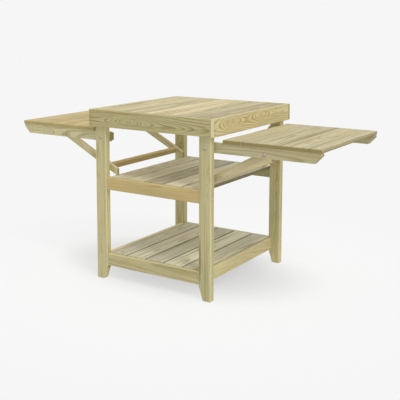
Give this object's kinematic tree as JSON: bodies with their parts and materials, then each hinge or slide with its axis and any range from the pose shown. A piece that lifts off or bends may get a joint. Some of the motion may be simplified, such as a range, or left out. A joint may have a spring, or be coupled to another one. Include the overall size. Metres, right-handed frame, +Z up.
{
  "type": "outdoor oven table",
  "caption": "Timber table for an outdoor oven, with a framed deck, open shelves below and a folding leaf on each side held up by a swinging brace.",
  "frame": {"origin": "centre of the footprint of the whole table, leaves up, on the floor", "axes": "+X to the right across the two leaves, +Y from front to back, +Z up"},
  "size_m": [1.806, 0.8, 0.9],
  "materials": {
    "deck_pine": "planed pressure-treated pine, matt",
    "apron_pine": "planed pressure-treated pine, matt",
    "leg_pine": "planed pressure-treated pine, matt",
    "rail_pine": "planed pressure-treated pine, matt",
    "shelf_pine": "planed pressure-treated pine, matt",
    "leaf_pine": "planed pressure-treated pine, matt",
    "arm_pine": "planed pressure-treated pine, matt",
    "brace_pine": "planed pressure-treated pine, matt",
    "zinc_steel": "zinc-plated steel"
  },
  "bodies": {
    "root": {"deck_board_1": "deck_pine", "deck_board_2": "deck_pine", "deck_board_3": "deck_pine", "deck_board_4": "deck_pine", "deck_board_5": "deck_pine", "deck_board_6": "deck_pine", "deck_board_7": "deck_pine", "apron_front": "apron_pine", "apron_back": "apron_pine", "apron_left": "apron_pine", "apron_right": "apron_pine", "leg_front_left": "leg_pine", "leg_front_right": "leg_pine", "leg_back_left": "leg_pine", "leg_back_right": "leg_pine", "middle_shelf_rail_front": "rail_pine", "middle_shelf_rail_back": "rail_pine", "middle_shelf_slat_1": "shelf_pine", "middle_shelf_slat_2": "shelf_pine", "middle_shelf_slat_3": "shelf_pine", "middle_shelf_slat_4": "shelf_pine", "middle_shelf_slat_5": "shelf_pine", "lower_shelf_rail_front": "rail_pine", "lower_shelf_rail_back": "rail_pine", "lower_shelf_rail_left": "rail_pine", "lower_shelf_rail_right": "rail_pine", "lower_shelf_slat_1": "shelf_pine", "lower_shelf_slat_2": "shelf_pine", "lower_shelf_slat_3": "shelf_pine", "lower_shelf_slat_4": "shelf_pine", "lower_shelf_slat_5": "shelf_pine", "leaf_bolt_front_left": "zinc_steel", "leaf_bolt_front_right": "zinc_steel", "leaf_bolt_back_left": "zinc_steel", "leaf_bolt_back_right": "zinc_steel"},
    "left_leaf": {"left_leaf_slat_1": "leaf_pine", "left_leaf_slat_2": "leaf_pine", "left_leaf_slat_3": "leaf_pine", "left_leaf_slat_4": "leaf_pine", "left_leaf_slat_5": "leaf_pine", "left_leaf_arm_front": "arm_pine", "left_leaf_arm_back": "arm_pine", "brace_bolt_front_left": "zinc_steel", "brace_bolt_back_left": "zinc_steel"},
    "right_leaf": {"right_leaf_slat_1": "leaf_pine", "right_leaf_slat_2": "leaf_pine", "right_leaf_slat_3": "leaf_pine", "right_leaf_slat_4": "leaf_pine", "right_leaf_slat_5": "leaf_pine", "right_leaf_arm_front": "arm_pine", "right_leaf_arm_back": "arm_pine", "brace_bolt_front_right": "zinc_steel", "brace_bolt_back_right": "zinc_steel"},
    "left_brace": {"left_brace_strut_front": "brace_pine", "left_brace_strut_back": "brace_pine", "left_brace_crossbar": "brace_pine"},
    "right_brace": {"right_brace_strut_front": "brace_pine", "right_brace_strut_back": "brace_pine", "right_brace_crossbar": "brace_pine"}
  },
  "joints": [
    {"name": "right_leaf_fold", "type": "hinge", "parent": "root", "child": "right_leaf", "pos_m": [0.319, 0, 0.7537], "axis": [0, 1, 0], "range_deg": [0, 90]},
    {"name": "right_brace_fold", "type": "hinge", "parent": "right_leaf", "child": "right_brace", "pos_m": [0.615, 0, 0.7447], "axis": [0, 1, 0], "range_deg": [0, 21]},
    {"name": "left_leaf_fold", "type": "hinge", "parent": "root", "child": "left_leaf", "pos_m": [-0.319, 0, 0.7537], "axis": [0, -1, 0], "range_deg": [0, 90]},
    {"name": "left_brace_fold", "type": "hinge", "parent": "left_leaf", "child": "left_brace", "pos_m": [-0.615, 0, 0.7447], "axis": [0, -1, 0], "range_deg": [0, 21]}
  ],
  "couplings": [
    {"joint": "right_brace_fold", "follows": "right_leaf_fold", "ratio": 0.2333},
    {"joint": "left_brace_fold", "follows": "left_leaf_fold", "ratio": 0.2333}
  ]
}
